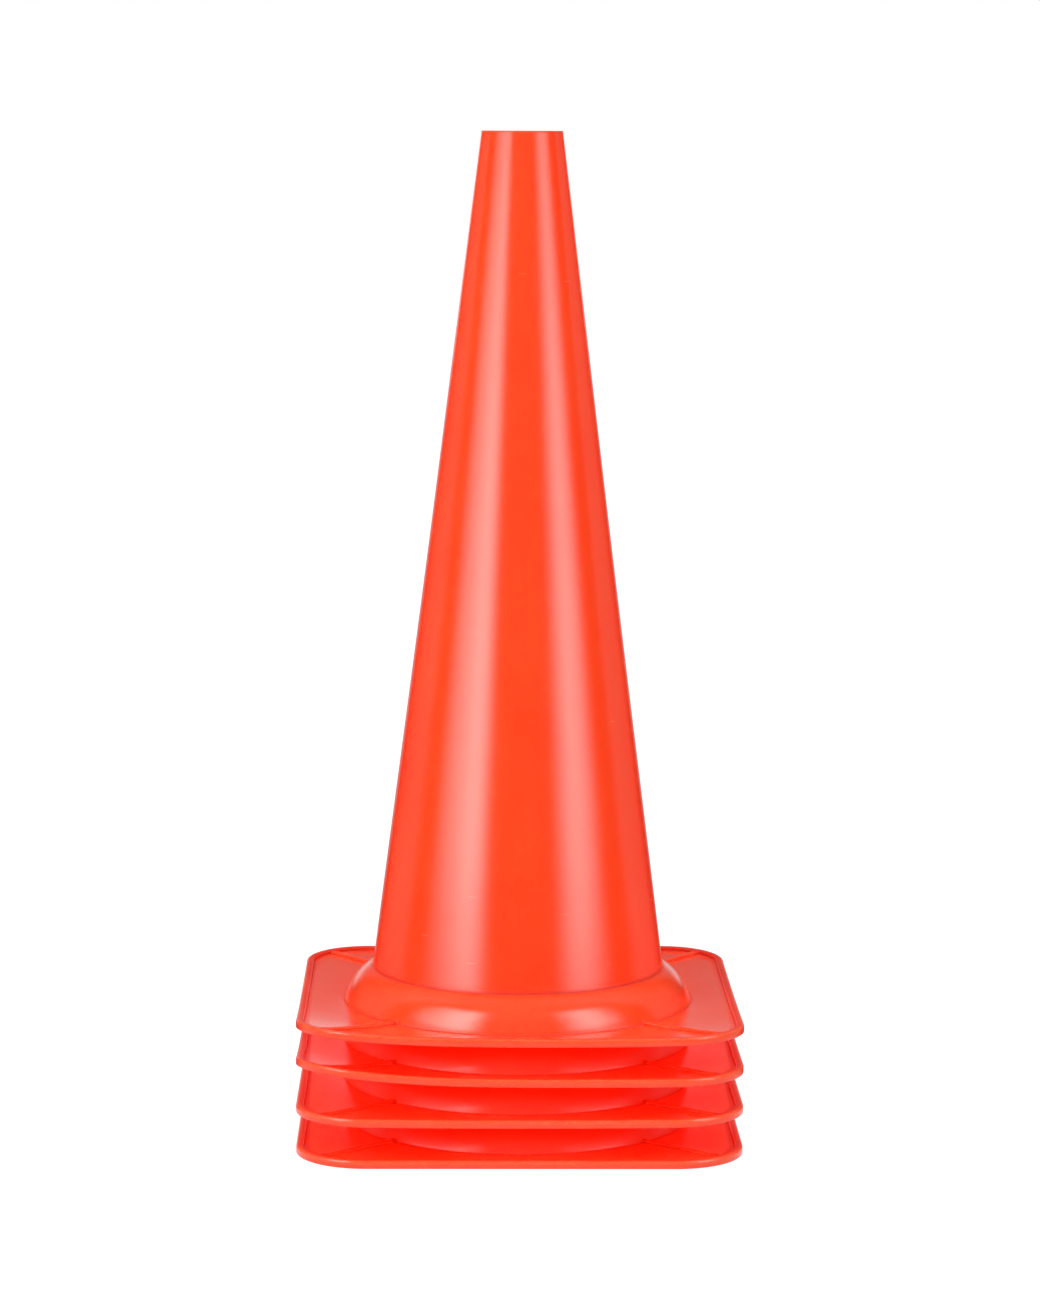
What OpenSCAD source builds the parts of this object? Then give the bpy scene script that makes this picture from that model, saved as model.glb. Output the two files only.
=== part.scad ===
// Stack of four nested sports marker cones.
// Each cone is one thin moulding: an open tapered wall, a round collar at its foot, and a
// square base plate with rounded corners, a raised rim and a raised rib along each diagonal.
// The origin is on the ground under the middle of the stack, with +Z up.

/* [Tapered wall] */
// Height of one cone, from the ground to its top edge
cone_h = 455; // [380:5:600]
// Outside diameter at the top edge
top_d = 42; // [36:1:60]
// Outside diameter of the wall where it stands on the collar
foot_d = 152; // [140:1:160]
// Thickness of the wall and the collar
wall_t = 2.2; // [1.6:0.1:3]

/* [Top hole] */
// Thickness of the wall around the top hole
lip_t = 3; // [2.5:0.1:5]
// Height of the straight hole at the top
lip_h = 6; // [3:0.5:12]

/* [Collar] */
// How far the collar's foot stands out past the wall's foot, all round
collar_out = 13.5; // [10:0.5:19]
// Height above the ground at which the wall rises from the collar
collar_h = 19; // [15:0.5:26]

/* [Base plate] */
// Length of each side of the base plate
base_side = 228; // [215:1:260]
// Radius of the plate's outline at its corners
corner_r = 36; // [24:1:60]
// Thickness of the plate between its ribs
plate_t = 2.4; // [1.8:0.1:3.4]

/* [Rim and ribs] */
// Width of the rim around the plate
rim_w = 3.8; // [3:0.1:5]
// Height of the rim above the ground
rim_h = 4.2; // [3.6:0.1:6]
// Width of each diagonal rib
rib_w = 3.6; // [3:0.1:5]
// Height of each diagonal rib above the ground
rib_h = 4.1; // [3.6:0.1:6]

/* [Stack] */
// Level gap between the walls of two nested cones
nest_gap = 0.4; // [0.3:0.05:0.8]

/* [Hidden] */

// Fineness of the round surfaces, and of the curves in the wall's section
$fn = 96;
curve_steps = 10;
corner_steps = 12;
bead_steps = 5;

// Sizes of the moulding's small curves and bevels
crease_r = 0.8;
foot_r = 0.8;
rib_round = 1.1;
edge_cut = 0.5;
lip_step = 1.5;

// Angle round the collar's ellipse, from its foot up to where the wall rises from it
crown = 60;

// How far a cut runs past the face that it opens
overrun = 1;

// Outside diameter of the collar where it meets the base plate
collar_d = foot_d + 2 * collar_out;

// The collar's section is part of an ellipse on this centre
collar_reach = (collar_out - crease_r) / (1 - cos(crown));
collar_mid = [collar_d / 2 - collar_reach, plate_t + foot_r];
collar_rise = (collar_h - collar_mid[1]) / sin(crown);

// The crease between the collar and the wall is an arc on this centre
crease_mid = collar_point(crown, -crease_r);

// The straight line of the outer wall, from the crease to the top edge
taper = atan((foot_d - top_d) / 2 / (cone_h - collar_h));
wall_foot = crease_mid - crease_r * [cos(taper), sin(taper)];
slope = (wall_foot[0] - top_d / 2) / (cone_h - wall_foot[1]);
wall_level = wall_t * sqrt(1 + slope * slope);

// How far each cone stands above the one it is nested on
pitch = (wall_level + nest_gap) / slope;

// Places that the plate's outline bends about, and how far its corners reach
bend = base_side / 2 - corner_r;
corner_reach = bend * sqrt(2) + corner_r;

function turned(points, angle) = [
    for (p = points)
        [p[0] * cos(angle) - p[1] * sin(angle), p[0] * sin(angle) + p[1] * cos(angle)]
];

// Points of an arc about a centre, between two angles
function arc(centre, radius, from, to, steps) = [
    for (i = [0:steps])
        let (angle = from + (to - from) * i / steps)
        centre + radius * [cos(angle), sin(angle)]
];

// Direction in which the collar faces at an angle round its ellipse
function collar_face(angle) = atan2(sin(angle) * collar_reach, cos(angle) * collar_rise);

// Point on the collar at that angle, moved into the plastic by an inset
function collar_point(angle, inset) =
    let (face = collar_face(angle))
    collar_mid + [collar_reach * cos(angle), collar_rise * sin(angle)]
        - inset * [cos(face), sin(face)];

// Radius of the inner wall at a height
function inner_r(height) = top_d / 2 + slope * (cone_h - height) - wall_level;

// Section of the outside, from the plate's top up to the top edge
function outer_section() = concat(
    arc([collar_d / 2 + foot_r, plate_t + foot_r], foot_r, 270, 180, bead_steps),
    [for (i = [0:curve_steps]) collar_point(crown * i / curve_steps, 0)],
    arc(crease_mid, crease_r, 180 + collar_face(crown), 180 + taper, bead_steps),
    [
        [top_d / 2 + slope * edge_cut, cone_h - edge_cut],
        [top_d / 2 - edge_cut, cone_h]
    ]
);

// Section of the inside, from the top edge down to the open underside
function inner_section() = concat(
    [
        [top_d / 2 - lip_t, cone_h],
        [top_d / 2 - lip_t, cone_h - lip_h],
        [inner_r(cone_h - lip_h - lip_step), cone_h - lip_h - lip_step]
    ],
    arc(crease_mid, crease_r + wall_t, 180 + taper, 180 + collar_face(crown), bead_steps),
    [for (i = [curve_steps:-1:0]) collar_point(crown * i / curve_steps, wall_t)],
    [[collar_d / 2 - wall_t, 0]]
);

// The wall and the collar, turned in one piece
module tapered_wall() {
    rotate_extrude()
        polygon(concat([[collar_d / 2 + foot_r, 0]], outer_section(), inner_section()));
}

// One quarter of the plate's outline, with its edge drawn in by a margin
function quarter_outline(margin) =
    arc([bend, bend], corner_r - margin, 0, 90, corner_steps);

module plate_outline(margin) {
    polygon([for (quarter = [0:3]) each turned(quarter_outline(margin), 90 * quarter)]);
}

// Section of a rounded rib that stands on the plate, centred on x = 0
module rib_section() {
    rise = rib_h - rib_round;
    reach = rib_w / 2 - rib_round;
    polygon(concat(
        [[rib_w / 2, plate_t / 2]],
        arc([reach, rise], rib_round, 0, 90, bead_steps),
        arc([-reach, rise], rib_round, 90, 180, bead_steps),
        [[-rib_w / 2, plate_t / 2]]
    ));
}

// One raised rib, from inside the collar's wall out into the rim
module rib() {
    from = collar_d / 2 - wall_t / 2;
    to = corner_reach - rim_w / 2;
    translate([from, 0, 0]) rotate([90, 0, 90]) linear_extrude(to - from) rib_section();
}

// The plate, left standing at full height along its rim
module base_plate() {
    difference() {
        linear_extrude(rim_h) plate_outline(0);
        translate([0, 0, plate_t]) linear_extrude(rim_h) plate_outline(rim_w);
        translate([0, 0, -overrun]) cylinder(h = plate_t + 2 * overrun, d = collar_d - wall_t);
    }
    for (quarter = [0:3]) rotate(45 + 90 * quarter) rib();
}

// One whole cone, standing on the ground
module marker_cone() {
    tapered_wall();
    base_plate();
}

module bottom_cone() {
    color("orangered") marker_cone();
}

module second_cone() {
    color("tomato") translate([0, 0, pitch]) marker_cone();
}

module third_cone() {
    color("orangered") translate([0, 0, 2 * pitch]) marker_cone();
}

module top_cone() {
    color("tomato") translate([0, 0, 3 * pitch]) marker_cone();
}

bottom_cone();
second_cone();
third_cone();
top_cone();
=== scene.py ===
"""Stack of four nested sports marker cones, laid out as an add-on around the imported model.

Every size is in metres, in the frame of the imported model: +Z up, the origin on the ground
under the middle of the stack, -Y towards the viewer.
"""

import math
from typing import NamedTuple

import bpy
import numpy as np
from bpy.props import FloatProperty, FloatVectorProperty, IntProperty, PointerProperty
from bpy.types import Operator, Panel, PropertyGroup
from mathutils import Matrix, Vector


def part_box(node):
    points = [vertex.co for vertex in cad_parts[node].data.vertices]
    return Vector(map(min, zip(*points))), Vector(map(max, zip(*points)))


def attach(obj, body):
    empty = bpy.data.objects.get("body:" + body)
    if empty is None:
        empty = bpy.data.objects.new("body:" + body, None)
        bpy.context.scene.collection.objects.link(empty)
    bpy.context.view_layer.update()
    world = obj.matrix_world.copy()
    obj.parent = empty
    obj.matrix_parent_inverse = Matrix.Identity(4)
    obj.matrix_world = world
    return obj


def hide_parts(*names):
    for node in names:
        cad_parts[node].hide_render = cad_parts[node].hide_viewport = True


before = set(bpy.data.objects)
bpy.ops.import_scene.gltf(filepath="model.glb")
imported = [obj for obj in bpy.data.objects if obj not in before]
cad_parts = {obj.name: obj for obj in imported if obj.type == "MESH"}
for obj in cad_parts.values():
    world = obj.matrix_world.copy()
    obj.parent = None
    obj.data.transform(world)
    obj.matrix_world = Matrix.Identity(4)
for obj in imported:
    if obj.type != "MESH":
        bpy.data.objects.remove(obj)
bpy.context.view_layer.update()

bl_info = {
    "name": "Marker Cone Stack",
    "version": (1, 0, 0),
    "blender": (4, 5, 0),
    "location": "View3D > Sidebar > Marker Cones",
    "description": "Builds a nested stack of moulded sports marker cones and a plain studio",
    "category": "Object",
}

MM = 0.001

# Each cone: its CAD node, its body, and how far its plate's corners curl up (right back, left
# back, left front, right front)
CONES = (
    ("bottom_cone", "bottom", (0.0, 0.0, 0.0, 0.0)),
    ("second_cone", "second", (1.2 * MM, 1.0 * MM, 0.8 * MM, 0.9 * MM)),
    ("third_cone", "third", (1.0 * MM, 1.6 * MM, 6.0 * MM, 1.0 * MM)),
    ("top_cone", "top", (1.2 * MM, 0.9 * MM, 4.2 * MM, 1.7 * MM)),
)

# Angle round the collar's ellipse, from its foot up to where the wall rises from it
CROWN = 60

# Height above the collar's foot below which it leans out
LEAN = 9 * MM

# Height of the step between the top hole and the inner wall
LIP_STEP = 1.5 * MM

# Height above the plate from which a rib counts as its crest
CREST = 1.4 * MM

# Facets along the outer wall, the inner wall and the underside
OUTER_FACETS, INNER_FACETS, UNDER_FACETS = 33, 29, 7

# Facets over half a rib, round the rest of half a corner and along half a straight side
RIB_FACETS, CORNER_FACETS, SIDE_FACETS = 8, 13, 12

# Rows of the plate's top, as shares of the way from the collar to the rim
PLATE_ROWS = (0.02, 0.05, 0.1, 0.2, 0.35, 0.5, 0.65, 0.8, 0.9, 0.95, 0.98)

BLACK = (0.0, 0.0, 0.0, 1.0)
WHITE = (1.0, 1.0, 1.0, 1.0)


def length(name, description, default):
    """A size in metres, shown in the scene's own unit."""
    return FloatProperty(
        name=name, description=description, default=default, min=0, unit="LENGTH", precision=5
    )


def tint(name, description, default):
    """A linear colour between 0 and 1."""
    return FloatVectorProperty(
        name=name, description=description, default=default, subtype="COLOR", min=0, max=1
    )


def share(name, description, default):
    """A number from 0 to 1."""
    return FloatProperty(
        name=name, description=description, default=default, min=0, max=1, subtype="FACTOR"
    )


def level(name, description, default):
    """A brightness, where 1 shows a colour as it is written."""
    return FloatProperty(name=name, description=description, default=default, min=0)


class ConeSizes(PropertyGroup):
    """Sizes of one moulded cone."""

    height: length("Height", "From the ground to the top edge of one cone", 455 * MM)
    top_width: length("Top width", "Outside diameter at the top edge", 42 * MM)
    foot_width: length("Foot width", "Outside diameter of the wall on the collar", 152 * MM)
    waist: length("Waist", "How far the wall draws in halfway up it", 0.5 * MM)
    wall: length("Wall", "Thickness of the wall and the collar", 2.2 * MM)
    lip: length("Lip", "Thickness of the wall around the top hole", 3 * MM)
    lip_height: length("Lip height", "Height of the straight hole at the top", 6 * MM)
    collar_out: length("Collar reach", "How far the collar stands out from the wall", 13.0 * MM)
    collar_height: length("Collar height", "Height at which the wall rises from it", 19 * MM)
    splay: length("Splay", "How far the collar leans out at its foot", 1.9 * MM)
    dip: length("Dip", "How far the plate dips towards the collar", 1.2 * MM)
    side: length("Base side", "Length of each side of the base plate", 228 * MM)
    corner_radius: length("Corner radius", "Radius of the plate's outline at a corner", 36 * MM)
    plate: length("Plate", "Thickness of the plate between its ribs", 2.4 * MM)
    rim_width: length("Rim width", "Width of the rim around the plate", 3.8 * MM)
    rim_height: length("Rim height", "Height of the rim above the ground", 4.2 * MM)
    rib_width: length("Rib width", "Width of each diagonal rib", 3.6 * MM)
    rib_height: length("Rib height", "Height of each diagonal rib above the ground", 4.1 * MM)


class ConeLook(PropertyGroup):
    """Colour and surface of the moulded plastic, with its painted glow and its painted shade."""

    colour: tint("Plastic", "Orange-red of the plastic", (0.98, 0.09, 0.0205))
    pale: tint("Pale flow", "Lighter orange of the thin flow lines", (1.0, 0.118, 0.031))
    deep: tint("Deep flow", "Redder orange of the thicker plastic", (0.96, 0.062, 0.012))
    # Painted glow: red light that the plastic gives off by itself, standing in for the bright
    # pigment's fluorescence; it keeps the red in shade and lightens the outline
    glow: tint("Glow", "Red that the bright pigment gives off", (1.0, 0.012, 0.0))
    painted_glow_strength: share("Glow strength", "How brightly the pigment gives it off", 0.64)
    scuffed: tint("Scuffed", "Paler plastic on rubbed edges", (1.0, 0.27, 0.1))
    # Painted shade: a darker red put in creases, along the rims, the ribs and the lip, and over
    # covered cones' collars and plates, where shade falls
    painted_shade: tint("PaintedShade", "Plastic under the dirt that gathers in creases", (0.62, 0.024, 0.007))
    speck: tint("Speck", "Dust and dark grains in the plastic", (0.35, 0.03, 0.012))
    roughness: share("Roughness", "Roughness of the clean plastic", 0.2)
    scuff_amount: share("Scuffs", "How much the edges are rubbed", 0.35)


class StudioSettings(PropertyGroup):
    """Camera, lamps and floor."""

    lens: FloatProperty(
        name="Lens", description="Focal length of the camera", default=108.95, unit="CAMERA"
    )
    distance: length("Distance", "From the stack's axis to the camera, on the level", 2037.6 * MM)
    camera_height: length("Camera height", "Height of the camera above the floor", 516.9 * MM)
    sideways: length("Sideways", "How far the camera stands to the right", 0.26 * MM)
    swing: FloatProperty(
        name="Swing", description="Turn of the camera round the stack", default=-0.018,
        subtype="ANGLE",
    )
    tilt: FloatProperty(
        name="Tilt", description="Downward tilt of the camera", default=0.13128, subtype="ANGLE"
    )
    roll: FloatProperty(
        name="Roll", description="Roll of the camera about its own axis", default=-0.0055,
        subtype="ANGLE",
    )
    fill: level("Fill", "Light from all round", 0.1)
    lamps: level("Lamps", "Brightness of the lamps' faces", 3.6)
    softbox: level("Softboxes", "Brightness of the softboxes in what is mirrored", 4.8)
    floor_width: length("Floor width", "Side of the square floor", 40.0)
    steps: IntProperty(
        name="Steps", description="Facets in each rounded edge", default=6, min=2, max=16
    )


class Wire:
    """A node's output socket. An operator on it adds the Math node that does the sum."""

    def __init__(self, graph, socket):
        self.graph = graph
        self.socket = socket

    def _math(self, operation, *values):
        return self.graph.node("ShaderNodeMath", {"operation": operation}, dict(enumerate(values)))

    def __add__(self, other):
        return self._math("ADD", self, other)

    __radd__ = __add__

    def __sub__(self, other):
        return self._math("SUBTRACT", self, other)

    def __rsub__(self, other):
        return self._math("SUBTRACT", other, self)

    def __mul__(self, other):
        return self._math("MULTIPLY", self, other)

    __rmul__ = __mul__

    def __gt__(self, other):
        return self._math("GREATER_THAN", self, other)

    def __lt__(self, other):
        return self._math("LESS_THAN", self, other)


class Graph:
    """A node tree that is written as expressions."""

    def __init__(self, tree):
        tree.nodes.clear()
        self.tree = tree

    def node(self, kind, settings=None, sockets=None, output=0):
        """Adds a node, sets it up, then fills or links its sockets; returns one of its outputs."""
        node = self.tree.nodes.new(kind)
        for name, value in (settings or {}).items():
            setattr(node, name, value)
        for name, value in (sockets or {}).items():
            if isinstance(value, Wire):
                self.tree.links.new(value.socket, node.inputs[name])
            else:
                node.inputs[name].default_value = value
        return Wire(self, node.outputs[output]) if len(node.outputs) else None

    def ramp(self, value, low, high, kind="SMOOTHSTEP"):
        """0 at low, 1 at high and past it, and a smooth step or a straight line between them.
        With low above high it falls."""
        return self.node(
            "ShaderNodeMapRange",
            {"interpolation_type": kind},
            {"Value": value, "From Min": low, "From Max": high},
        )

    def blend(self, factor, first, second):
        """Mixes two colours."""
        return self.node(
            "ShaderNodeMix",
            {"data_type": "RGBA"},
            {"Factor": factor, 6: first, 7: second},
            2,
        )

    def noise(self, place, scale, detail=2.0, roughness=0.5):
        """Smooth noise from 0 to 1, with its features 1 / scale apart."""
        return self.node(
            "ShaderNodeTexNoise",
            None,
            {"Vector": place, "Scale": scale, "Detail": detail, "Roughness": roughness},
        )

    def stretched(self, place, by):
        """A place with each of its three parts multiplied."""
        return self.node("ShaderNodeVectorMath", {"operation": "MULTIPLY"}, {0: place, 1: by})

    def part(self, vector, axis):
        """The X, Y or Z of a vector."""
        return self.node("ShaderNodeSeparateXYZ", None, {0: vector}, axis)

    def cells(self, place, scale, above):
        """Distance from the middle of a random cell, and 1 in the cells whose own random number
        is above a limit."""
        sockets = {"Vector": place, "Scale": scale}
        distance, pick = (
            self.node("ShaderNodeTexVoronoi", None, sockets, output)
            for output in ("Distance", "Color")
        )
        return distance, self.node("ShaderNodeSeparateColor", None, {0: pick}) > above


def rgba(colour):
    """A colour property as the four numbers that a socket takes."""
    return (*colour, 1.0)


def arc(centre, radius, start, end, steps):
    """Points centre + radius (cos a, sin a) of an arc, with a from start to end in degrees."""
    angle = np.radians(np.linspace(start, end, steps + 1))
    return np.array(centre) + radius * np.stack([np.cos(angle), np.sin(angle)], 1)


def fade(distance, size):
    """1 - distance / size, kept between 0 and 1."""
    return np.clip(1 - distance / size, 0, 1)


def near(section, place, size):
    """exp(-(d / size)^2), with d the distance of a section's points from a place."""
    return np.exp(-((np.hypot(*(section - place).T) / size) ** 2))


class PaintedShade(NamedTuple):
    """How much painted shade each place gets, from 0 to 1, on a cone that nothing covers."""

    crease: float = 0.7
    low_wall: float = 0.15
    collar_foot: float = 0.8
    lip: float = 0.9
    collar_and_plate: float = 0.0
    plate_start: float = 0.5
    plate_end: float = 0.4
    rib_side: float = 0.8
    rib_crest: float = 0.35
    all_ribs: float = 1.0
    rim_root: float = 1.0
    rim_top: float = 0.7


# On a cone that another one covers, painted shade lies all over the collar and the plate, which
# the plates above shade, and less in lines
FREE = PaintedShade()
COVERED = PaintedShade(collar_foot=0.3, collar_and_plate=0.4, all_ribs=0.3)


class ConeForm:
    """The lines and sections that one cone's surface is carried along."""

    def __init__(self, s, steps):
        self.s = s
        self.steps = steps
        self.crease = 0.8 * MM
        self.fillet = 0.8 * MM
        self.collar_r = s.foot_width / 2 + s.collar_out
        self.foot_r = self.collar_r + self.fillet + s.splay
        crown = math.radians(CROWN)
        self.reach = (s.collar_out - self.crease) / (1 - math.cos(crown))
        self.middle = (self.collar_r - self.reach, s.plate + self.fillet)
        self.rise = (s.collar_height - self.middle[1]) / math.sin(crown)
        self.crease_middle = self.collar(CROWN, CROWN, 0, -self.crease)[0]
        taper = math.atan((s.foot_width - s.top_width) / 2 / (s.height - s.collar_height))
        self.taper = math.degrees(taper)
        foot = self.crease_middle - self.crease * np.array([math.cos(taper), math.sin(taper)])
        self.slope = (foot[0] - s.top_width / 2) / (s.height - foot[1])
        self.level_wall = s.wall * math.hypot(1, self.slope)

    def collar(self, start, end, steps, inset):
        """Points middle + (reach cos a, rise sin a) - inset n of the collar, with n the
        direction (cos a / reach, sin a / rise) that it faces and a from start to end."""
        a = np.radians(np.linspace(start, end, steps + 1))
        ellipse = np.stack([self.reach * np.cos(a), self.rise * np.sin(a)], 1)
        facing = np.stack([np.cos(a) / self.reach, np.sin(a) / self.rise], 1)
        facing /= np.hypot(*facing.T)[:, None]
        return self.middle + ellipse - inset * facing

    def crease_arc(self, inset):
        """The crease between the wall and the collar, from the wall down."""
        crown = math.radians(CROWN)
        facing = math.atan2(math.sin(crown) * self.reach, math.cos(crown) * self.rise)
        radius = self.crease + inset
        angles = 180 + self.taper, 180 + math.degrees(facing)
        return arc(self.crease_middle, radius, *angles, self.steps)

    def inner_r(self, z):
        """Radius of the straight inner wall at a height."""
        return self.s.top_width / 2 + self.slope * (self.s.height - z) - self.level_wall

    def waisted(self, wall):
        """Draws a wall in by waist sin^2(pi t), with t from 0 at the collar to 1 at the top."""
        s = self.s
        t = (wall[:, 1] - s.collar_height) / (s.height - s.collar_height)
        return wall - np.stack([s.waist * np.sin(np.pi * t) ** 2, 0 * t], 1)

    def settled(self, collar):
        """Moves a collar out by splay h^2 and down by dip h^2, with h from 0 at LEAN above its
        foot to 1 there."""
        h = fade(collar[:, 1] - self.middle[1], LEAN) ** 2
        return collar + np.stack([self.s.splay * h, -self.s.dip * h], 1)

    def hole(self, rounding):
        """Radius and height from the inner wall, over the step, up to the top edge's rounding.
        The step's corner is cut off, and rows close to the curves keep the shading level."""
        s = self.s
        bore = s.top_width / 2 - s.lip
        foot = s.height - s.lip_height
        close, cut_out, cut_down = 0.3 * MM, 0.15 * MM, 0.1 * MM
        return [
            (self.inner_r(foot - LIP_STEP), foot - LIP_STEP),
            (bore + cut_out, foot - cut_down),
            (bore, foot + close),
            (bore, foot + s.lip_height / 2),
            (bore, s.height - rounding - close),
        ]

    def outside(self):
        """Radius and height from the lip's inner step, over the top edge, down to the plate."""
        s = self.s
        round_in, round_out, close = 0.4 * MM, 0.7 * MM, 0.6 * MM
        bore = s.top_width / 2 - s.lip
        top = (s.top_width / 2 + self.slope * round_out, s.height - round_out)
        crease = self.crease_arc(0)
        wall = np.linspace(top, crease[0], OUTER_FACETS + 1)[1:-1]
        # Rows that close up on the crease
        closing = np.array([0.5, 0.25, 0.12, 0.05])[:, None]
        foot_middle = (self.collar_r + self.fillet, self.middle[1])
        return np.concatenate([
            self.hole(round_in),
            arc((bore + round_in, s.height - round_in), round_in, 180, 90, 4),
            arc((top[0] - round_out, top[1]), round_out, 90, 0, 5),
            [(top[0] + self.slope * close, top[1] - close)],
            self.waisted(wall),
            crease[0] + (wall[-1] - crease[0]) * closing,
            crease,
            self.settled(self.collar(CROWN, 0, 4 * self.steps, 0)[1:]),
            self.settled(arc(foot_middle, self.fillet, 200, 270, self.steps)),
        ])

    def inside(self):
        """Radius and height from the open underside up to just below the lip's inner step."""
        s = self.s
        mouth = self.collar_r - s.wall
        soft = 0.4 * MM
        crease = self.crease_arc(s.wall)[::-1]
        top = s.height - s.lip_height - 2 * LIP_STEP
        wall = np.linspace(crease[-1], (self.inner_r(top), top), INNER_FACETS + 1)
        return np.concatenate([
            arc((mouth + soft, soft), soft, 270, 180, 3),
            self.collar(0, CROWN, 2 * self.steps, s.wall),
            crease[1:],
            self.waisted(wall[1:]),
        ])

    def rim(self):
        """Distance in from the plate's edge and height, over the rim and round to below it."""
        s = self.s
        root, inner, outer, under = 0.4 * MM, 0.8 * MM, 1.3 * MM, 0.4 * MM
        return np.concatenate([
            arc((s.rim_width + root, s.plate + root), root, 270, 180, 3),
            arc((s.rim_width - inner, s.rim_height - inner), inner, 0, 90, self.steps),
            arc((outer, s.rim_height - outer), outer, 90, 180, self.steps),
            arc((under, under), under, 180, 270, 3),
        ])

    def columns(self):
        """The plate's columns, in one turn: direction at the collar, edge point, inward normal,
        height with the ribs, and 1 along a rib's foot.

        Beside a diagonal they run level with its rib, w away from it, where the rib's section
        is a superellipse: w = half cos(t)^(2/3), height = rise sin(t)^(2/3)."""
        s = self.s
        half_rib = s.rib_width / 2
        radius = s.corner_radius
        bend = s.side / 2 - radius
        t = np.radians(np.linspace(90, 0, RIB_FACETS + 1))
        beside = [half_rib + 0.15 * MM, half_rib + 0.8 * MM]
        w = np.concatenate([half_rib * np.cos(t) ** (2 / 3), beside])
        last = len(w) - 1
        # Angle round the corner's arc, away from the diagonal
        angle = np.arcsin(w / (radius - self.rim()[0, 0]))
        rest = np.linspace(angle[last], math.pi / 4, CORNER_FACETS + 1)
        angle = np.concatenate([angle, rest[1:]])
        outward = np.stack([np.cos(math.pi / 4 - angle), np.sin(math.pi / 4 - angle)], 1)
        sides = np.linspace(bend, 0, SIDE_FACETS + 1)[1:]
        edge = np.concatenate([
            bend + radius * outward,
            np.stack([np.full(len(sides), s.side / 2), sides], 1),
        ])
        inward = -np.concatenate([outward, np.tile([1.0, 0.0], (len(sides), 1))])
        rib = np.zeros(len(edge))
        rib[: len(t)] = (s.rib_height - s.plate) * np.sin(t) ** (2 / 3)
        # Angle away from the diagonal, at the plate's edge and at the collar
        at_edge = math.pi / 4 - np.arctan2(edge[:, 1], edge[:, 0])
        start = math.asin(w[last] / self.foot_r)
        left = (math.pi / 4 - at_edge) / (math.pi / 4 - at_edge[last])
        at_foot = at_edge + (start - at_edge[last]) * left**2
        at_foot[: last + 1] = np.arcsin(w / self.foot_r)
        foot = np.stack([np.cos(math.pi / 4 - at_foot), np.sin(math.pi / 4 - at_foot)], 1)

        def turn(part):
            """The half corner, its mirror across the diagonal, and three more quarter turns."""
            quarter = np.concatenate([part[:0:-1], part[:-1, ::-1]])
            x, y = quarter.T
            return np.concatenate([
                np.stack(pair, 1) for pair in ((x, y), (-y, x), (-x, -y), (y, -x))
            ])

        beside_rib = np.zeros(len(edge))
        beside_rib[len(t) - 2 : len(t) + 1] = 0.5, 1.0, 0.7
        rib, beside_rib = (
            np.tile(np.concatenate([part[:0:-1], part[:-1]]), 4) for part in (rib, beside_rib)
        )
        return turn(foot), turn(edge), turn(inward), s.plate + rib, beside_rib

    def rubbing(self, outside, rib, rim):
        """How far the outside, the plate's top and the rim are rubbed: exp(-d / 1.2 mm) down
        the wall's outer side, a little on the ribs, and exp(-(d / 1.6 mm)^2) in from the
        plate's edge."""
        s = self.s
        on_outer_side = outside[:, 0] > s.top_width / 2 - LIP_STEP
        top = np.exp(-np.abs(outside[:, 1] - s.height) / (1.2 * MM)) * on_outer_side
        edge = np.exp(-((rim[:, 0] / (1.6 * MM)) ** 2)) * (rim[:, 1] > s.rim_height / 3)
        return top[:, None], 0.1 * (rib > s.plate + CREST), edge[:, None]

    def painted_shade_amounts(self, outside, t, rib, beside_rib, rim, painted_shade):
        """How much painted shade lies on the outside, on the plate's top at the shares t of the
        way
        to the rim, and on the rim: exp(-(d / size)^2) about a crease, and a straight fade down
        from the lip, up from the collar and down from the rim's top. On the wall it fades with
        the square of the height, 70 mm up."""
        s = self.s
        height = outside[:, 1]
        crease = self.crease_arc(0)[self.steps // 2]
        above = height - crease[1]
        skin = painted_shade.crease * near(outside, crease, 1.2 * MM)
        skin += painted_shade.low_wall * (fade(above, 70 * MM) ** 2 * (above > 0))
        skin += painted_shade.collar_foot * near(outside, outside[-1], 1.0 * MM)
        skin += painted_shade.lip * fade(s.height - height, 1.2 * MM)
        skin += painted_shade.collar_and_plate * fade(height - s.collar_height, 4 * MM)

        ribs = np.maximum(painted_shade.rib_side * beside_rib, painted_shade.rib_crest * (rib > s.plate + CREST))
        panel = painted_shade.plate_start * (t < 0.03) + painted_shade.plate_end * (t > 0.93)
        panel = panel + ribs * painted_shade.all_ribs + painted_shade.collar_and_plate

        bead = painted_shade.rim_root * near(rim, rim[0], 1.7 * MM)
        bead += painted_shade.rim_top * fade(s.rim_height - rim[:, 1], 0.5 * MM)
        return skin[:, None], panel, bead[:, None]

    def curled(self, points, curl, far):
        """Lifts the plate past the collar by curl ((r - foot) / (far - foot))^2, where curl
        passes from corner to corner as cos^2 of the angle between them."""
        out = np.hypot(points[..., 0], points[..., 1])
        turned = np.arctan2(points[..., 1], points[..., 0])
        past = np.clip((out - self.foot_r) / (far - self.foot_r), 0, None) ** 2
        for number, lift in enumerate(curl):
            corner = math.radians(45 + 90 * number)
            points[..., 2] += lift * np.clip(np.cos(turned - corner), 0, None) ** 2 * past
        return points

    def surface(self, curl, painted_shade):
        """Points in rows and columns, a closed ring both ways, and how far each is rubbed and how
        much painted shade it gets.

        A row runs round the cone and a column runs along its section: the outside, then the
        plate, the rim, the underside and the inside. The plate's top dips by dip (1 - t)^2,
        with t from 0 at the collar to 1 at the rim."""
        s = self.s
        foot, edge, inward, rib, beside_rib = self.columns()
        outside, inside, rim = self.outside(), self.inside(), self.rim()

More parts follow.
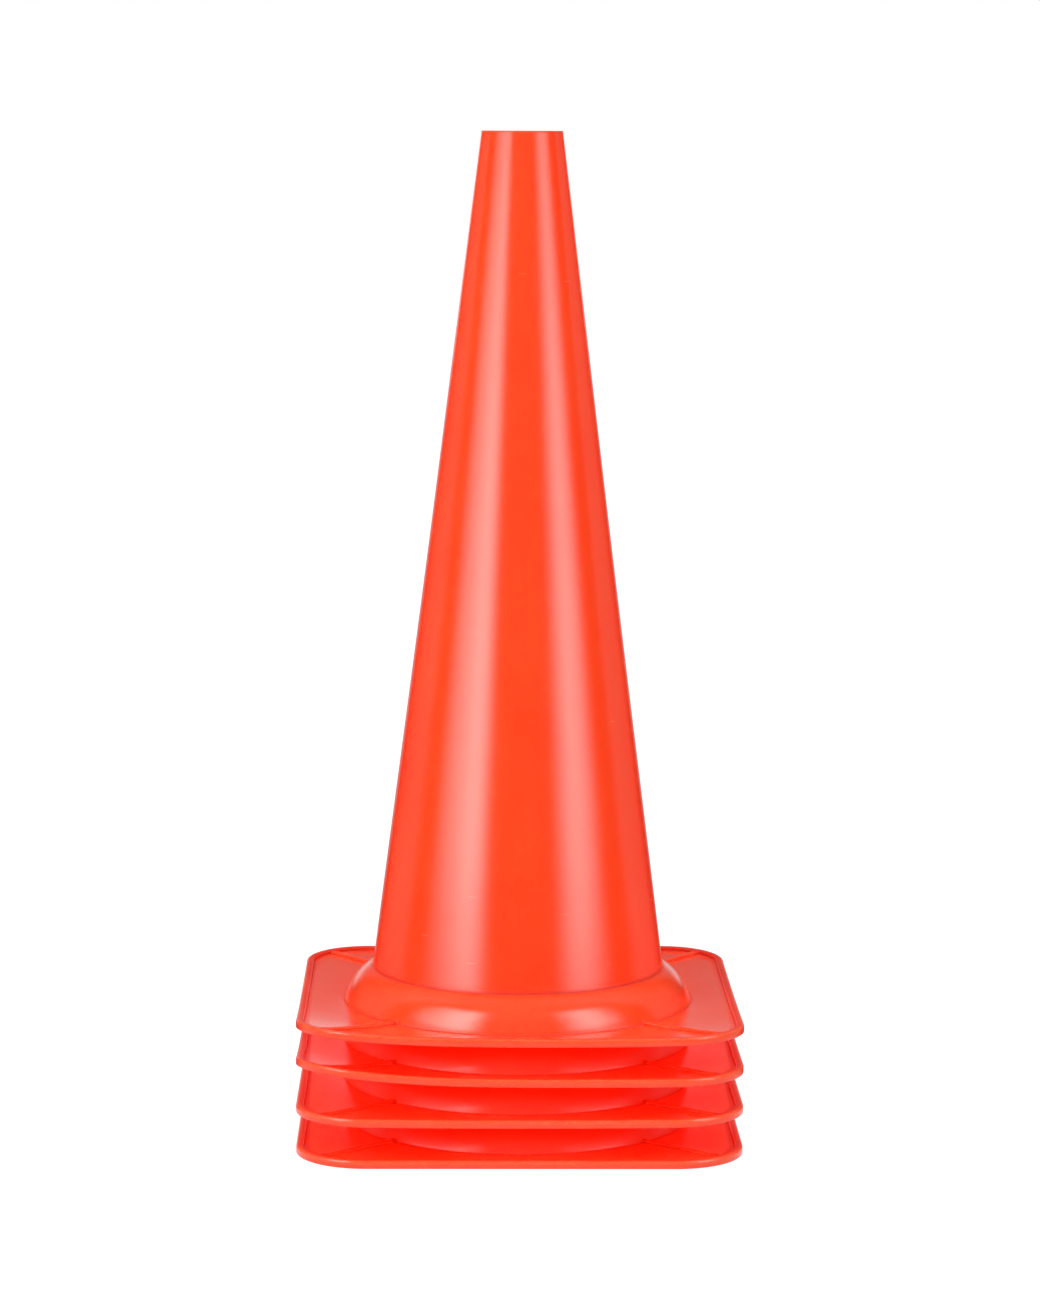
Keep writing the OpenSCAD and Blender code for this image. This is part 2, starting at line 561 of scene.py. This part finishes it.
        def rings(section):
            """A section of radius and height, turned about the axis."""
            flat = section[:, 0, None, None] * foot
            high = np.repeat(section[:, 1, None], len(foot), 1)
            return np.concatenate([flat, high[..., None]], 2)

        skin = rings(outside)
        skin[..., 2] = np.maximum(skin[..., 2], rib - s.dip)

        rim_foot = edge + inward * rim[0, 0]
        t = np.array(PLATE_ROWS)[:, None]
        flat = self.foot_r * foot * (1 - t[..., None]) + rim_foot * t[..., None]
        panel = np.concatenate([flat, (rib - s.dip * (1 - t) ** 2)[..., None]], 2)

        bead = edge + inward * rim[:, 0, None, None]
        high = np.repeat(rim[:, 1, None], len(foot), 1)
        on_top = rim[:, 0] > s.rim_width / 2
        high[on_top] = np.maximum(high[on_top], rib)
        bead = np.concatenate([bead, high[..., None]], 2)

        mouth = inside[0, 0] * foot
        back = np.linspace(0, 1, UNDER_FACETS + 1)[1:-1, None, None]
        under = bead[-1, :, :2] * (1 - back) + mouth * back
        under = np.concatenate([under, np.zeros(under.shape[:2])[..., None]], 2)

        parts = skin, panel, bead, under, rings(inside)
        corner_reach = np.hypot(*edge.T).max()
        points = self.curled(np.concatenate(parts), curl, corner_reach)

        def spread(wear):
            """Wear or painted shade of the outside, the plate's top and the rim, as a number at
            every point.
            """
            wear = (*wear, 0.0, 0.0)
            return np.concatenate(
                [np.broadcast_to(amount, part.shape[:2]) for amount, part in zip(wear, parts)]
            )

        rubbed = spread(self.rubbing(outside, rib, rim))
        creased = spread(self.painted_shade_amounts(outside, t, rib, beside_rib, rim, painted_shade))
        return points, rubbed, creased


def ring_mesh(name, points, **worn):
    """A mesh of quads over rows and columns that close on themselves both ways, with a number
    at each point for each kind of wear and for the painted shade."""
    rows, columns = points.shape[:2]
    at = np.arange(rows * columns).reshape(rows, columns)
    below, beside = np.roll(at, -1, 0), np.roll(at, -1, 1)
    corner = np.roll(below, -1, 1)
    quads = np.stack([at, below, corner, beside], 2).reshape(-1, 4)
    mesh = bpy.data.meshes.new(name)
    mesh.vertices.add(at.size)
    mesh.vertices.foreach_set("co", points.astype(np.float32).ravel())
    mesh.loops.add(quads.size)
    mesh.loops.foreach_set("vertex_index", quads.astype(np.int32).ravel())
    mesh.polygons.add(len(quads))
    mesh.polygons.foreach_set("loop_start", np.arange(0, quads.size, 4, dtype=np.int32))
    mesh.update(calc_edges=True)
    mesh.polygons.foreach_set("use_smooth", np.ones(len(quads), bool))
    for kind, amount in worn.items():
        layer = mesh.attributes.new(kind, "FLOAT", "POINT")
        layer.data.foreach_set("value", amount.astype(np.float32).ravel())
    mesh.validate()
    return mesh


def moulded_plastic(look):
    """Glossy translucent orange-red plastic with flow lines, dark grains, level scratches,
    scuffs on its edges, a painted red glow, and painted shade in its creases and hollows."""
    material = bpy.data.materials.new("moulded_orange_plastic")
    material.use_nodes = True
    g = Graph(material.node_tree)
    place = g.node("ShaderNodeTexCoord", output="Object")
    rubbed, creased = (
        g.node("ShaderNodeAttribute", {"attribute_name": name}, output="Fac")
        for name in ("rubbed", "creased")
    )

    # Clouds 60 mm across, flow lines 14 mm across and 200 mm high, and mottling 4 mm across
    clouds = g.noise(place, 16.0, 3.0)
    flow = g.noise(g.stretched(place, (70.0, 70.0, 5.0)), 1.0, 3.0)
    fine = g.noise(place, 240.0, 3.0, 0.6)

    # Grains 1 mm across in 7 of 100 cells that are 5 mm across
    from_grain, picked = g.cells(place, 190.0, 0.93)
    specks = (from_grain < 0.09) * picked

    # Level scratches in 4.5 of 100 cells that are 24 mm long and 1.6 mm high
    from_line, picked = g.cells(g.stretched(place, (42.0, 42.0, 620.0)), 1.0, 0.955)
    lines = g.ramp(from_line, 0.16, 0.06) * picked

    scuffs = g.ramp(rubbed * 0.8 + fine * 0.3 + clouds * 0.4, 0.6, 1.5) * look.scuff_amount

    colour = g.blend(g.ramp(flow, 0.42, 0.75) * 0.35, rgba(look.colour), rgba(look.pale))
    colour = g.blend(g.ramp(clouds, 0.45, 0.8) * 0.4, colour, rgba(look.deep))
    # Painted shade: darker red in creases, along the rims, ribs and lip, and over covered cones'
    # collars and plates
    painted_shade = g.ramp(creased * (fine * 0.25 + clouds * 0.5 + 0.6), 0, 1, "LINEAR")
    colour = g.blend(painted_shade, colour, rgba(look.painted_shade))
    colour = g.blend(scuffs, colour, rgba(look.scuffed))
    colour = g.blend(lines * 0.35, colour, rgba(look.scuffed))
    colour = g.blend(specks * 0.7, colour, rgba(look.speck))

    # Painted glow, brighter where a near-upright wall turns away from the viewer: a painted light
    # along the outline
    facing = g.node("ShaderNodeLayerWeight", None, {"Blend": 0.5}, "Facing")
    upwards = g.part(g.node("ShaderNodeNewGeometry", output="Normal"), "Z")
    edge = g.ramp(facing, 0.45, 0.85) * g.ramp(upwards * upwards, 0.3, 0.1)
    glow = g.blend(edge * 0.5 + 0.5, BLACK, rgba(look.glow))
    # The painted shade also takes away most of the painted glow
    glow = g.blend(painted_shade * 0.7, glow, BLACK)

    # Both noises lie about 0.5, and the plain roughness gives way by what they add there
    rough = clouds * 0.05 + fine * 0.04 + scuffs * 0.25 + lines * 0.15 + painted_shade * 0.4
    rough = rough + (look.roughness - 0.045)

    # Waves 40 mm across and 110 mm high, peel 2.4 mm across, and depths in metres
    waves = g.noise(g.stretched(place, (26.0, 26.0, 9.0)), 1.0, 1.0)
    peel = g.noise(place, 420.0, 1.0)
    height = waves * 0.00012 + peel * 0.000006 + fine * 0.000004 - lines * 0.00001
    normal = g.node("ShaderNodeBump", None, {"Height": height, "Distance": 1.0, "Strength": 1.0})

    shader = g.node(
        "ShaderNodeBsdfPrincipled",
        None,
        {
            "Base Color": colour,
            "Roughness": rough,
            "Normal": normal,
            "IOR": 1.5,
            "Subsurface Weight": 1.0,
            "Subsurface Radius": (1.0, 0.25, 0.12),
            "Subsurface Scale": 1.2 * MM,
            "Coat Weight": 0.9 - painted_shade * 0.8,
            "Coat Roughness": 0.16,
            "Coat IOR": 1.5,
            "Emission Color": glow,
            "Emission Strength": look.painted_glow_strength,
        },
    )
    g.node("ShaderNodeOutputMaterial", None, {"Surface": shader})
    return material


class Mirrored:
    """Brightness of the studio in what is mirrored, in a direction: two tall softboxes that
    fade outwards, dim sides, and a paper sweep that darkens upwards.

    Its numbers are degrees round from the viewer's side, more than 0 to the right, and the
    sine of the angle up from the floor."""

    def __init__(self, g, towards):
        across, away, self.up = (g.part(towards, axis) for axis in "XYZ")
        azimuth = g.node("ShaderNodeMath", {"operation": "ARCTAN2"}, {0: across, 1: 0 - away})
        self.azimuth = azimuth * math.degrees(1)
        self.side = g.node("ShaderNodeMath", {"operation": "ABSOLUTE"}, {0: self.azimuth})
        self.behind = g.ramp(self.side, 152, 162)
        self.g = g

    def softboxes(self):
        """The two softboxes, each with a dark gap between its lower and upper half."""
        ramp = self.g.ramp
        left = ramp(self.azimuth, -23, -41) * ramp(self.azimuth, -84, -47, "LINEAR")
        right = ramp(self.azimuth, 26, 52) * ramp(self.azimuth, 84, 55)
        lower = ramp(self.up, 0.24, 0.1) * 0.45 + ramp(self.up, 0.32, 0.26) * 0.45
        fading = lower + ramp(self.up, 0.35, 0.4) * 0.92 + 0.1
        return (left + right * 0.78) * fading * ramp(self.up, 0.87, 0.75)

    def sides(self):
        """Dim light from the sides, and from behind up to the sweep's edge."""
        ramp = self.g.ramp
        return ramp(self.side, 97, 106) * ramp(self.side, 150, 106, "LINEAR") * 0.25

    def paper(self):
        """The sweep behind, which darkens upwards."""
        return self.behind * (self.g.ramp(self.up, 0.21, 0.05) * 0.55 + 0.12)


def white_floor():
    """A floor that is white to the camera and keeps a soft shadow."""
    material = bpy.data.materials.new("studio_floor")
    material.use_nodes = True
    g = Graph(material.node_tree)
    camera = g.node("ShaderNodeLightPath", output="Is Camera Ray")
    glossy = g.node("ShaderNodeLightPath", output="Is Glossy Ray")
    place = g.node("ShaderNodeTexCoord", output="Object")
    out = g.node("ShaderNodeVectorMath", {"operation": "LENGTH"}, {0: place}, "Value")
    studio = Mirrored(g, place)
    # In front the square of the azimuth fades both ways alike, from 77 to 114 degrees
    front = g.ramp(studio.azimuth * studio.azimuth, 13000, 6000)
    # What is mirrored of the floor at the sides, behind and in front, by metres from the stack
    level = studio.sides() * (g.ramp(out, 0.4, 0.65) * 0.75 + 0.25)
    level = level + studio.behind * (g.ramp(out, 0.7, 0.4) * 0.2 + 0.28)
    level = level + front * g.ramp(out, 0.7, 0.3) * 0.55
    mirror = g.node("ShaderNodeEmission", None, {"Color": WHITE, "Strength": level})
    paper = g.node("ShaderNodeBsdfDiffuse", None, {"Color": (0.35, 0.35, 0.35, 1.0)})
    # The camera sees a lit floor that shows the shadow, and a glow that makes the rest white
    faint = g.node("ShaderNodeBsdfDiffuse", None, {"Color": (0.34, 0.34, 0.34, 1.0)})
    glow = g.node("ShaderNodeEmission", None, {"Color": WHITE, "Strength": 0.82})
    seen = g.node("ShaderNodeAddShader", None, {0: faint, 1: glow})
    others = g.node("ShaderNodeMixShader", None, {0: glossy, 1: paper, 2: mirror})
    mixed = g.node("ShaderNodeMixShader", None, {0: camera, 1: others, 2: seen})
    g.node("ShaderNodeOutputMaterial", None, {"Surface": mixed})
    return material


class MARKERCONE_OT_build_cones(Operator):
    """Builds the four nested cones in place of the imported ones"""

    bl_idname = "marker_cone.build_cones"
    bl_label = "Build cones"

    def execute(self, context):
        sizes = context.scene.cone_sizes
        material = moulded_plastic(context.scene.cone_look)
        form = ConeForm(sizes, context.scene.studio.steps)
        for node, body, curl in CONES:
            # The cones below get painted shade all over their collars and plates, where the plates
            # above shade them
            painted_shade = FREE if body == "top" else COVERED
            points, rubbed, creased = form.surface(curl, painted_shade)
            points[..., 2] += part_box(node)[0][2]
            mesh = ring_mesh(f"{body}_marker_cone", points, rubbed=rubbed, creased=creased)
            mesh.materials.append(material)
            piece = bpy.data.objects.new(mesh.name, mesh)
            context.scene.collection.objects.link(piece)
            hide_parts(node)
            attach(piece, body)
        return {"FINISHED"}


class MARKERCONE_OT_build_studio(Operator):
    """Builds the floor, the lamps, the surroundings and the camera"""

    bl_idname = "marker_cone.build_studio"
    bl_label = "Build studio"

    def execute(self, context):
        studio = context.scene.studio
        self.floor(context, studio)
        self.surroundings(context, studio)
        # Azimuth and width in degrees, strength as a share of the lamps' own
        for name, azimuth, width, strength in (
            ("left_lamp", -52, 40, 1.0),
            ("right_lamp", 48, 36, 0.5),
        ):
            self.lamp(context, name, azimuth, width, strength * studio.lamps)
        self.camera(context, studio)
        context.scene.view_settings.view_transform = "Standard"
        return {"FINISHED"}

    def floor(self, context, studio):
        """A large square on the ground."""
        half = studio.floor_width / 2
        mesh = bpy.data.meshes.new("floor")
        mesh.from_pydata(
            [(-half, -half, 0), (half, -half, 0), (half, half, 0), (-half, half, 0)],
            [],
            [(0, 1, 2, 3)],
        )
        mesh.materials.append(white_floor())
        floor = bpy.data.objects.new("floor", mesh)
        context.scene.collection.objects.link(floor)

    def surroundings(self, context, studio):
        """White to the camera, the studio in what is mirrored, and plain fill light."""
        world = bpy.data.worlds.new("studio")
        world.use_nodes = True
        context.scene.world = world
        g = Graph(world.node_tree)
        towards = g.node("ShaderNodeTexCoord", output="Generated")
        away = g.part(towards, "Y")
        camera = g.node("ShaderNodeLightPath", output="Is Camera Ray")
        glossy = g.node("ShaderNodeLightPath", output="Is Glossy Ray")
        view = Mirrored(g, towards)
        mirrored = view.softboxes() * studio.softbox + view.sides() + view.paper()
        mirrored = mirrored + g.ramp(view.up, 0.55, 0.95) * 0.15
        # Fill from above the viewer, from behind, from straight above, and from all round
        fill = g.ramp(away, -0.3, -0.9) * g.ramp(view.up, 0.15, 0.4) * 1.1
        fill = fill + g.ramp(away, -0.6, 0.6) * 0.3 + g.ramp(view.up, 0.1, 1.0) * 0.6
        fill = fill + studio.fill
        strength = camera + (1 - camera) * (glossy * mirrored + (1 - glossy) * fill)
        sky = g.node("ShaderNodeBackground", None, {"Color": WHITE, "Strength": strength})
        g.node("ShaderNodeOutputWorld", None, {"Surface": sky})

    def lamp(self, context, name, azimuth, width, strength):
        """A tall area lamp that stands beside the viewer and faces the stack. Its energy is
        pi times its area times the brightness of its face."""
        # Metres out from the stack, and up to the lamp's lower and upper edge
        away, low, high = 1.7, 0.45, 1.85
        turned = math.radians(azimuth)
        lamp = bpy.data.lights.new(name, "AREA")
        lamp.shape = "RECTANGLE"
        lamp.size = 2 * away * math.tan(math.radians(width / 2))
        lamp.size_y = high - low
        lamp.energy = math.pi * lamp.size * lamp.size_y * strength
        box = bpy.data.objects.new(name, lamp)
        box.visible_camera = False
        box.visible_glossy = False
        middle = (low + high) / 2
        box.location = (away * math.sin(turned), -away * math.cos(turned), middle)
        facing = Vector((-math.sin(turned), math.cos(turned), 0))
        box.rotation_euler = facing.to_track_quat("-Z", "Y").to_euler()
        context.scene.collection.objects.link(box)

    def camera(self, context, studio):
        """The photograph's viewpoint: the axes right, up and back are tilted about right,
        rolled about back, and swung with the camera's place about the upright axis."""
        lens = bpy.data.cameras.new("camera")
        lens.lens = studio.lens
        lens.sensor_width = 36
        camera = bpy.data.objects.new("camera", lens)
        context.scene.collection.objects.link(camera)
        context.scene.camera = camera
        turn = Matrix.Rotation(studio.swing, 3, "Z")
        cos, sin = math.cos(studio.tilt), math.sin(studio.tilt)
        right, up, back = Vector((1, 0, 0)), Vector((0, sin, cos)), Vector((0, -cos, sin))
        cos, sin = math.cos(studio.roll), math.sin(studio.roll)
        axes = (cos * right - sin * up, sin * right + cos * up, back)
        pose = Matrix([turn @ axis for axis in axes]).transposed().to_4x4()
        place = Vector((studio.sideways, -studio.distance, studio.camera_height))
        pose.translation = turn @ place
        camera.matrix_world = pose


class MARKERCONE_PT_panel(Panel):
    """Lists the sizes, the look and the operators"""

    bl_label = "Marker Cones"
    bl_space_type = "VIEW_3D"
    bl_region_type = "UI"
    bl_category = "Marker Cones"

    def draw(self, context):
        for group in ("cone_sizes", "cone_look", "studio"):
            settings = getattr(context.scene, group)
            box = self.layout.box()
            for name in settings.__annotations__:
                box.prop(settings, name)
        for operator in (MARKERCONE_OT_build_cones, MARKERCONE_OT_build_studio):
            self.layout.operator(operator.bl_idname)


CLASSES = (
    ConeSizes,
    ConeLook,
    StudioSettings,
    MARKERCONE_OT_build_cones,
    MARKERCONE_OT_build_studio,
    MARKERCONE_PT_panel,
)


def register():
    """Adds the classes, and the settings to the scene."""
    for one in CLASSES:
        bpy.utils.register_class(one)
    bpy.types.Scene.cone_sizes = PointerProperty(type=ConeSizes)
    bpy.types.Scene.cone_look = PointerProperty(type=ConeLook)
    bpy.types.Scene.studio = PointerProperty(type=StudioSettings)


def unregister():
    """Takes away what register added."""
    del bpy.types.Scene.studio
    del bpy.types.Scene.cone_look
    del bpy.types.Scene.cone_sizes
    for one in reversed(CLASSES):
        bpy.utils.unregister_class(one)


def main():
    register()
    bpy.ops.marker_cone.build_cones()
    bpy.ops.marker_cone.build_studio()


if __name__ == "__main__":
    main()
